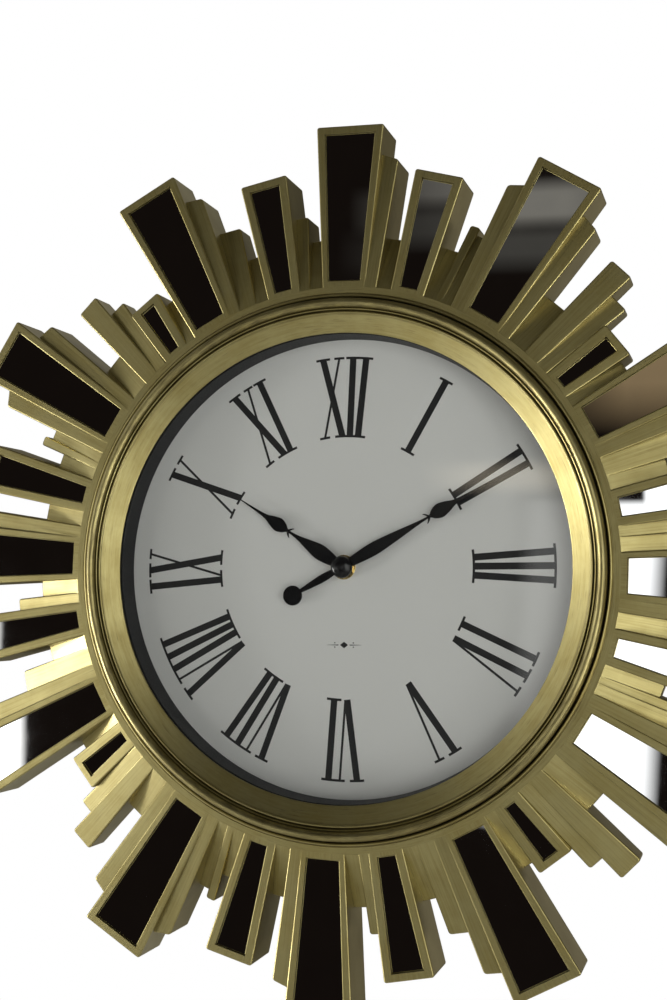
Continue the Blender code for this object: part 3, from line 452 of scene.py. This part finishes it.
def front_depth(bar, radius, angle):
    _, start, end, tip_start, tip_end, tip_depth = bar
    middle, half = (start + end) / 2, math.radians(end - start) / 2
    near = RING_RADIUS * math.cos(half)
    far = (tip_start + tip_end) / 2 * math.cos(half)
    along = radius * math.cos(math.radians(angle - middle))
    return RING_DEPTH + (tip_depth - RING_DEPTH) * (along - near) / (far - near)


def slope(bar):
    return (RING_DEPTH - bar[5]) / ((bar[3] + bar[4]) / 2 - RING_RADIUS)


ROOT_RADIUS = 158.6  # where a bar starts, hidden inside the ring
UNDERLAP = 1.3  # how far a lower bar runs on under its higher neighbour
SIDE_LAP = 0.25  # the same where the lower bar is the longer one
TOUCH = 0.02  # how far a higher bar runs into its lower neighbour
RING_SINK = 0.03  # how far the bars' roots lie under the ring's face
MIN_EDGE_ANGLE = 50.0
CORNER_ROUND = 1.6
EDGE_ROUND = 0.85


def bar_shape(bar, extend_start, extend_end):
    """One bar as a closed solid with rounded corners and edges."""
    _, start, end, tip_start, tip_end, _ = bar

    def corner(radius, angle, sideways, depth):
        x, z = polar(radius, angle)
        turn = math.radians(angle)
        return at(x + math.cos(turn) * sideways, z - math.sin(turn) * sideways, depth)

    shape = bmesh.new()
    root_depth = RING_DEPTH - RING_SINK
    stations = (
        (ROOT_RADIUS, ROOT_RADIUS, root_depth, root_depth),
        (RING_RADIUS, RING_RADIUS, root_depth, root_depth),
        (tip_start, tip_end, front_depth(bar, tip_start, start), front_depth(bar, tip_end, end)),
    )
    rows = []
    for near, far, near_depth, far_depth in stations:
        rows.append((
            shape.verts.new(corner(near, start, -extend_start, near_depth)),
            shape.verts.new(corner(far, end, extend_end, far_depth)),
            shape.verts.new(corner(far, end, extend_end, BACK_DEPTH)),
            shape.verts.new(corner(near, start, -extend_start, BACK_DEPTH)),
        ))
    skin(shape, rows)
    tip = rows[-1]
    upright = [shape.edges.get((tip[1], tip[2])), shape.edges.get((tip[3], tip[0]))]
    rounding = {"profile": 0.5, "affect": "EDGES"}
    bmesh.ops.bevel(shape, geom=upright, offset=CORNER_ROUND * MM, segments=4, **rounding)
    shape.normal_update()
    rounded = []
    for edge in shape.edges:
        middle = (edge.verts[0].co + edge.verts[1].co) / 2
        past_root = math.hypot(middle.x, middle.z) > (ROOT_RADIUS + 1.0) * MM
        if len(edge.link_faces) == 2 and past_root:
            if edge.calc_face_angle() > math.radians(MIN_EDGE_ANGLE):
                rounded.append(edge)
    bmesh.ops.bevel(shape, geom=rounded, offset=EDGE_ROUND * MM, segments=3, **rounding)
    return shape


def pocket_outline(kind, middle):
    inner, inner_half, outer, outer_half = POCKETS[kind]
    return [
        (inner, middle - inner_half),
        (inner, middle + inner_half),
        (outer, middle + outer_half),
        (outer, middle - outer_half),
    ]


def pocket_shape(bar):
    """The space of a mirror's pocket, open to the front and as deep all over."""
    shape = bmesh.new()
    corners = pocket_outline(bar[0], (bar[1] + bar[2]) / 2)
    low, high = [], []
    for radius, angle in corners:
        x, z = polar(radius, angle)
        depth = front_depth(bar, radius, angle)
        low.append(shape.verts.new(at(x, z, depth - POCKET_DEPTH)))
        high.append(shape.verts.new(at(x, z, depth + CLEAR_OF_FRONT)))
    return skin(shape, [low, high])


RING_PROFILE = (
    (SUNBURST_BORE, 39.0), (154.5, 39.9), (154.8, 40.4), (155.2, 40.62), (155.7, 40.5),
    (156.1, 39.9), (156.35, 39.15), (156.55, 39.1), (156.8, 39.4), (RING_RADIUS + 0.3, RING_DEPTH),
    (RING_RADIUS + 0.8, RING_DEPTH - 0.5), (RING_RADIUS + 1.2, RING_DEPTH - 1.5),
    (RING_RADIUS + 1.2, BACK_DEPTH + 0.5), (REBATE_RADIUS, BACK_DEPTH),
    (REBATE_RADIUS, REBATE_DEPTH), (SUNBURST_BORE, REBATE_DEPTH),
)


def build_sunburst():
    bars = []
    for quarter in range(4):
        turn = 90.0 * quarter + SUNBURST_TURN
        for kind, start, end, tip_start, tip_end, tip_depth in QUARTER:
            bars.append((kind, start + turn, end + turn, tip_start, tip_end, tip_depth))
    solids, pockets = [], []
    for i, bar in enumerate(bars):
        extends = []
        for neighbour, mine, theirs in (
            (bars[i - 1], bar[3], bars[i - 1][4]),
            (bars[(i + 1) % len(bars)], bar[4], bars[(i + 1) % len(bars)][3]),
        ):
            lower = slope(bar) > slope(neighbour)
            extends.append((UNDERLAP if mine < theirs else SIDE_LAP) if lower else TOUCH)
        solids.append(bar_shape(bar, *extends))
        if bar[0] in POCKETS:
            pockets.append(pocket_shape(bar))
    made = link("sunburst", mesh_of("sunburst", turned_shape(RING_PROFILE)))
    combine(made, "UNION", solids)
    combine(made, "DIFFERENCE", pockets)
    smooth(made)
    finish_piece(made, "gold_bars", "gold", "sunburst_frame")
    made.data.materials.append(MATERIALS["gold_rings"])
    for face in made.data.polygons:
        if math.hypot(face.center.x, face.center.z) < (RING_RADIUS + 1.0) * MM:
            face.material_index = 1


# Bezel and dial


def arc_points(middle, half, base, rise, steps):
    """Points over a half ellipse from its inner foot to its outer foot."""
    points = []
    for step in range(steps + 1):
        turn = math.pi * (1 - step / steps)
        points.append((middle + half * math.cos(turn), base + rise * math.sin(turn)))
    return points


BEZEL_STEPS = 320
BEZEL_PROFILE = (
    (134.3, 35.7), (134.3, 36.0), (134.45, 36.25), (134.8, 36.45),
    (139.5, 38.55), (144.0, 40.55), (144.35, 40.75),
    *arc_points(145.15, 0.65, 40.95, 0.65, 6),
    (146.0, 40.2),
    (146.35, 39.9),
    *arc_points(147.15, 0.55, 40.6, 1.15, 6),
    (147.85, 40.7),
    *arc_points(150.75, 2.75, 41.0, 3.3, 16),
    (153.65, 40.4), (153.7, 39.5), (153.7, 20.0), (157.0, 20.0),
    (157.0, 8.6), (137.5, 8.6), (137.5, 35.7),
)


def build_bezel():
    made = link("bezel", mesh_of("bezel", turned_shape(BEZEL_PROFILE, BEZEL_STEPS)))
    smooth(made, 40.0)
    finish_piece(made, "gold_rings", "gold", "bezel_ring")


def build_rehaut():
    profile = [
        (REHAUT_RADIUS, DIAL_DEPTH + 0.3),
        (STACK_RADIUS, DIAL_DEPTH + 0.3),
        (STACK_RADIUS, LENS_BACK_DEPTH - 0.3),
        (REHAUT_RADIUS + 1.1, LENS_BACK_DEPTH - 0.3),
        (REHAUT_RADIUS + 0.8, LENS_BACK_DEPTH - 0.6),
    ]
    made = link("rehaut", mesh_of("rehaut", turned_shape(profile, BEZEL_STEPS)))
    smooth(made)
    finish_piece(made, "rehaut", "black_plastic", "rehaut_ring")


# Numerals


def stroke_outline(outer_angle, inner_angle, width, inner_radius):
    top = Vector(polar(NUMERAL_OUTER, outer_angle))
    foot = Vector(polar(inner_radius, inner_angle))
    along = (top - foot).normalized()
    across = Vector((along.y, -along.x)) * width / 2
    return [tuple(top - across), tuple(top + across), tuple(foot + across), tuple(foot - across)]


def serif_outline(radius, middle, half):
    outer, inner = [], []
    steps = 6
    for i in range(steps + 1):
        angle = middle - half + 2 * half * i / steps
        outer.append(polar(radius + SERIF / 2, angle))
        inner.append(polar(radius - SERIF / 2, angle))
    return outer + inner[::-1]


THICK_SERIFS = (2.0, 3.3)
THIN_SERIFS = (1.45, 2.35)
# Each letter's strokes (outer angle, inner angle, width, inner radius) and serifs (radius, angle,
# half width as an angle), with the angles counted from the letter's own middle.
LETTERS = {
    "I": (
        [(0.0, 0.0, THICK_STROKE, NUMERAL_INNER)],
        [(NUMERAL_OUTER, 0.0, THICK_SERIFS[0]), (NUMERAL_INNER, 0.0, THICK_SERIFS[1])],
    ),
    "X": (
        [(-2.3, 2.95, THICK_STROKE, NUMERAL_INNER), (2.35, -5.0, THIN_STROKE, NUMERAL_INNER)],
        [
            (NUMERAL_OUTER, -2.3, THICK_SERIFS[0]),
            (NUMERAL_INNER, 2.95, THICK_SERIFS[1]),
            (NUMERAL_OUTER, 2.35, THIN_SERIFS[0]),
            (NUMERAL_INNER, -5.0, THIN_SERIFS[1]),
        ],
    ),
    "V": (
        [(-2.1, 0.1, THICK_STROKE, NUMERAL_INNER - 0.2), (2.75, 0.9, THIN_STROKE, NUMERAL_INNER)],
        [(NUMERAL_OUTER, -2.1, THICK_SERIFS[0]), (NUMERAL_OUTER, 2.75, THIN_SERIFS[0])],
    ),
}
# Each hour's letters, with the angle of each from the hour's own.
NUMERALS = (
    ("I", (0.0,)),
    ("II", (-1.9, 1.9)),
    ("III", (-3.8, 0.0, 3.8)),
    ("IV", (-5.0, 2.0)),
    ("V", (0.0,)),
    ("VI", (-1.5, 4.45)),
    ("VII", (-3.5, 2.4, 6.25)),
    ("VIII", (-5.55, 0.45, 4.25, 8.05)),
    ("IX", (-5.1, 1.8)),
    ("X", (0.0,)),
    ("XI", (-1.6, 4.55)),
    ("XII", (-3.65, 2.7, 6.4)),
)


def glyph_outlines(letter, angle):
    """The strokes and serifs of one letter, as closed outlines."""
    strokes, serifs = LETTERS[letter]
    outlines = [stroke_outline(angle + a, angle + b, width, r) for a, b, width, r in strokes]
    return outlines + [serif_outline(radius, angle + a, half) for radius, a, half in serifs]


INK_BACK, INK_FRONT = DIAL_DEPTH - 0.04, DIAL_DEPTH + 0.04
ORNAMENT_Z = -45.0
LOZENGE = (2.4, 1.9)  # half width and half height
LINE_ENDS = ((3.4, 0.3), (10.5, 0.06))  # distance from the middle and half thickness
DOT_AT = (5.6, 1.25)
DOT_RADIUS = 0.42


def build_print():
    """The printed numerals and, below the hands, a small line ornament."""
    outlines = []
    for hour, (letters, places) in enumerate(NUMERALS, 1):
        for letter, place in zip(letters, places):
            outlines += glyph_outlines(letter, 30.0 * hour + place)

    def mirrored(points):
        return [(x, 2 * ORNAMENT_Z - z) for x, z in points]

    wide, high = LOZENGE
    outlines.append([
        (-wide, ORNAMENT_Z), (0.0, ORNAMENT_Z + high), (wide, ORNAMENT_Z), (0.0, ORNAMENT_Z - high),
    ])
    for side in (-1, 1):
        line = [(side * x, ORNAMENT_Z - half) for x, half in LINE_ENDS]
        outlines.append(line + mirrored(line[::-1]))
        middle = (side * DOT_AT[0], ORNAMENT_Z + DOT_AT[1])
        dot = circle(DOT_RADIUS, 10, middle)
        outlines.append(dot)
        outlines.append(mirrored(dot))
    shapes = [prism_shape(o, INK_BACK, INK_FRONT) for o in outlines]
    made = link("dial_print", mesh_of("dial_print", shapes[0]))
    combine(made, "UNION", shapes[1:])
    finish_piece(made, "ink", "black_paint")


# Hands


def smooth_widths(knots, pieces=8):
    points = []
    for i in range(len(knots) - 1):
        p0, p1 = knots[max(i - 1, 0)], knots[i]
        p2, p3 = knots[i + 1], knots[min(i + 2, len(knots) - 1)]
        for step in range(pieces):
            t = step / pieces
            points.append(tuple(
                0.5 * (2 * b + (c - a) * t + (2 * a - 5 * b + 4 * c - d) * t * t
                       + (3 * b - a - 3 * c + d) * t ** 3)
                for a, b, c, d in zip(p0, p1, p2, p3)
            ))
    return [*points, knots[-1]]


def directions(angle):
    turn = math.radians(angle)
    along = Vector((math.sin(turn), math.cos(turn)))
    return along, Vector((along.y, -along.x))


def blade_outline(knots, angle):
    widths = smooth_widths(knots)
    along, across = directions(angle)
    one = [along * r + across * w for r, w in widths]
    other = [along * r - across * w for r, w in reversed(widths)]
    return [tuple(p) for p in one + other]


def crossbar_outline(distance, angle, half=3.0, curl=2.3, thick=1.45):
    along, across = directions(angle)
    outer, inner = [], []
    steps = 24
    for step in range(steps + 1):
        side = -1 + 2 * step / steps
        drop = curl * abs(side) ** 1.7
        body = thick * (1 - 0.4 * side * side) / 2
        outer.append(along * (distance - drop + body) + across * half * side)
        inner.append(along * (distance - drop - body) + across * half * side)
    return [tuple(p) for p in outer + inner[::-1]]


def circle(radius, steps=64, centre=(0.0, 0.0)):
    turned = (polar(radius, 360.0 * i / steps) for i in range(steps))
    return [(centre[0] + x, centre[1] + z) for x, z in turned]


HOUR_OUTLINE = (
    (3.0, 2.2), (9.0, 3.7), (16.5, 4.5), (24.0, 3.1), (31.0, 1.5), (36.5, 0.8), (40.0, 0.9),
    (42.5, 2.7), (46.5, 4.1), (51.0, 3.1), (56.0, 1.4), (64.0, 0.7), (75.0, 0.25),
)
MINUTE_OUTLINE = (
    (3.0, 2.2), (10.0, 3.1), (22.0, 3.8), (36.0, 2.7), (48.0, 1.4), (56.0, 0.7), (59.5, 0.9),
    (62.0, 2.8), (66.0, 4.2), (71.0, 3.2), (76.5, 1.4), (86.0, 0.8), (100.5, 0.3),
)
TAIL_OUTLINE = ((3.0, 1.5), (12.0, 2.3), (20.0, 1.9), (31.0, 0.9))
COUNTERWEIGHT = (34.3, 5.8)
HAND_EDGE = 0.09
HOUR_CROSSBAR_AT = 39.4
MINUTE_CROSSBAR_AT = 58.8


def build_hand(name, hand, outlines, node, body):
    back, front = hand["depth"], hand["depth"] + HAND_THICKNESS
    shapes = [prism_shape(o, back, front) for o in [circle(hand["hub"]), *outlines]]
    made = link(name, mesh_of(name, shapes[0]))
    combine(made, "UNION", shapes[1:])
    combine(made, "DIFFERENCE", [prism_shape(circle(hand["bore"]), back - 1, front + 1)])
    bevel = made.modifiers.new("edges", "BEVEL")
    bevel.width = HAND_EDGE * MM
    bevel.segments = 2
    bevel.limit_method = "ANGLE"
    bevel.angle_limit = math.radians(60)
    finish_piece(made, "black_paint", "black_paint", node, body=body)


def build_hands():
    hour, minute = HOUR_HAND["angle"], MINUTE_HAND["angle"]
    build_hand(
        "hour_hand_blade", HOUR_HAND,
        [blade_outline(HOUR_OUTLINE, hour), crossbar_outline(HOUR_CROSSBAR_AT, hour)],
        "hour_hand", "hour_hand_group",
    )
    tail = minute + 180.0
    distance, radius = COUNTERWEIGHT
    build_hand(
        "minute_hand_blade", MINUTE_HAND,
        [
            blade_outline(MINUTE_OUTLINE, minute),
            crossbar_outline(MINUTE_CROSSBAR_AT, minute),
            blade_outline(TAIL_OUTLINE, tail),
            circle(radius, centre=polar(distance, tail)),
        ],
        "minute_hand", "minute_hand_group",
    )


CAP_RADIUS = 6.4
CAP_RIM = 0.8
CAP_RISE = 3.2
CAP_BORE_DEPTH = 1.9
CAP_STEPS = 17


def build_cap_nut():
    base = MINUTE_HAND["depth"] + HAND_THICKNESS + 0.3
    bore = MINUTE_HAND["bore"]
    dome = []
    for step in range(CAP_STEPS):
        turn = math.pi / 2 * step / CAP_STEPS
        height = base + CAP_RIM + CAP_RISE * math.sin(turn)
        dome.append((CAP_RADIUS * math.cos(turn), height))
    profile = [
        (bore, base), (CAP_RADIUS - 0.25, base), (CAP_RADIUS, base + 0.2), *dome,
        (0.0, base + CAP_RIM + CAP_RISE), (0.0, base + CAP_BORE_DEPTH), (bore, base + CAP_BORE_DEPTH),
    ]
    made = link("cap_nut_dome", mesh_of("cap_nut_dome", turned_shape(profile, 96)))
    smooth(made)
    finish_piece(made, "black_paint", "black_paint", "minute_cap_nut", body="minute_hand_group")


# Solids that stay as they are and get a finish


def finish_solids():
    for row in frame["record"]["subparts"]:
        slot = row["material_slot"]
        node = frame["nodes"][row["node"]]
        node.data.materials.clear()
        node.data.materials.append(MATERIALS["gold_bars" if slot == "gold" else slot])


# Camera, light and floor


ROOM = (0.0065, 0.0045, 0.0035)
# What the clock reflects, each patch laid over those before it: sides (degrees, 0 in front and rising
# to the right), levels (degrees above the horizon), softness of both in degrees, colour, and how far
# the sides lean with height.
STUDIO = (
    ((-180, 180), (34, 90), (3, 3), (0.06, 0.056, 0.048), 0.0),  # dim ceiling
    ((14, 64), (-22, 17), (1.5, 1.5), (2.1, 2.1, 2.05), 0.0),  # bright area at the right
    ((95, 195), (26, 75), (8, 6), (0.34, 0.33, 0.3), 0.0),  # dim fill from behind, in two halves
    ((-195, -95), (26, 75), (8, 6), (0.34, 0.33, 0.3), 0.0),
    ((110, 180), (-16, 12), (12, 8), (0.27, 0.25, 0.2), 0.0),  # dim fill from behind, lower down
    ((-78, 78), (-72, -31), (3, 2), (1.3, 1.29, 1.24), 0.0),  # bright sweep below
    ((-78, -26), (-33, -23), (3, 2), (1.3, 1.28, 1.22), 0.0),
    ((-84, -49), (6, 34), (2, 4), (0.9, 0.89, 0.85), 0.0),  # soft light at the left, four patches
    ((-85, -31.4), (-13.5, 0.2), (0.4, 0.4), (3.6, 3.56, 3.42), 0.0),
    ((-84, -60), (-38, 0), (2, 3), (1.6, 1.58, 1.54), 0.0),
    ((-75, -69), (-22, -4), (0.5, 0.5), (58.0, 57.0, 55.5), 0.0),  # ...and the brightest of them
    ((57, 64), (-34, -20), (0.5, 0.5), (30.0, 30.0, 29.5), 0.0),  # small bright light at the right
    ((-13, -3), (16.8, 18.3), (3.5, 0.3), (0.19, 0.18, 0.155), 0.0),  # small things seen in mirrors and glass
    ((-14, -3), (15.2, 16.6), (3, 0.4), (0.055, 0.052, 0.045), 0.0),
    ((-5, 3), (8.6, 14), (1.5, 1), (0.24, 0.17, 0.09), 0.0),
    ((-12.3, -7.3), (4.6, 5.6), (1.2, 0.3), (3.0, 2.6, 1.95), 0.0),
    ((-9.3, -2.3), (-10.5, 4.1), (0.4, 0.15), (1.6, 1.6, 1.58), 0.076),
    ((-3.8, -1.9), (4, 5.2), (0.1, 0.1), (1.6, 1.6, 1.58), 0.0),
)


def build_world():
    """A dark room with the studio's patches for reflections and light. Seen directly it is white."""
    world = bpy.data.worlds.new("studio")
    bpy.context.scene.world = world
    world.use_nodes = True
    world.node_tree.nodes.clear()
    made = Tree(world.node_tree)
    direction = made.add("ShaderNodeTexCoord").outputs["Generated"]
    x, y, z = made.add("ShaderNodeSeparateXYZ", {0: direction}).outputs
    across = made.math("ARCTAN2", x, made.math("MULTIPLY", y, -1.0))

    def band(value, low, high, soft):
        """1 between low and high, falling to 0 over soft on both sides."""
        rise = made.ramp(value, low - soft, low + soft)
        fall = made.ramp(value, high - soft, high + soft, 1.0, 0.0)
        return made.math("MULTIPLY", rise, fall)

    colour = ROOM
    for sides, levels, soft, light, lean in STUDIO:
        leant = made.math("MULTIPLY_ADD", z, -lean, across)
        low_side, high_side = (math.radians(a) for a in sides)
        low_level, high_level = (math.sin(math.radians(a)) for a in levels)
        beside = band(leant, low_side, high_side, math.radians(soft[0]))
        level = band(z, low_level, high_level, math.radians(soft[1]))
        colour = made.mix(made.math("MULTIPLY", beside, level), colour, light)
    seen_directly = made.add("ShaderNodeLightPath").outputs["Is Camera Ray"]
    shown = made.mix(seen_directly, colour, (1.0, 1.0, 1.0))
    background = made.add("ShaderNodeBackground", {0: shown})
    made.add("ShaderNodeOutputWorld", {0: background.outputs[0]})


FLOOR_REACH = 2.3
FLOOR_LEVEL = -1.4


def build_stage():
    floor = bpy.data.meshes.new("floor")
    signs = ((-1, -1), (1, -1), (1, 1), (-1, 1))
    corners = [(x * FLOOR_REACH, y * FLOOR_REACH, FLOOR_LEVEL) for x, y in signs]
    floor.from_pydata(corners, [], [(0, 1, 2, 3)])
    made = Nodes("pale_floor")
    speck = made.noise(made.position(), 4.0, 3.0)
    made.set(
        Base_Color=made.mix(speck, (0.90, 0.90, 0.89), (0.93, 0.93, 0.92)),
        Roughness=0.7,
        Emission_Color=(1.0, 1.0, 1.0),
        Emission_Strength=0.25,
    )
    link("floor", floor, made.material)


LENS_LENGTH = 50.1
SENSOR_WIDTH = 36.0
CAMERA_PLACE = (0.2319, -0.7936, -0.0200)
CAMERA_TILT = 4.18  # degrees above the horizon
CAMERA_TURN = 17.08  # degrees to the left of straight on


def build_camera():
    camera = bpy.data.cameras.new("camera")
    camera.lens = LENS_LENGTH
    camera.sensor_width = SENSOR_WIDTH
    made = bpy.data.objects.new("camera", camera)
    bpy.context.scene.collection.objects.link(made)
    made.location = CAMERA_PLACE
    made.rotation_euler = Euler((math.radians(90.0 + CAMERA_TILT), 0.0, math.radians(CAMERA_TURN)))
    bpy.context.scene.camera = made


finish_solids()
build_sunburst()
build_bezel()
build_rehaut()
build_print()
build_hands()
build_cap_nut()
build_world()
build_stage()
build_camera()
bpy.context.scene.view_settings.view_transform = "Standard"
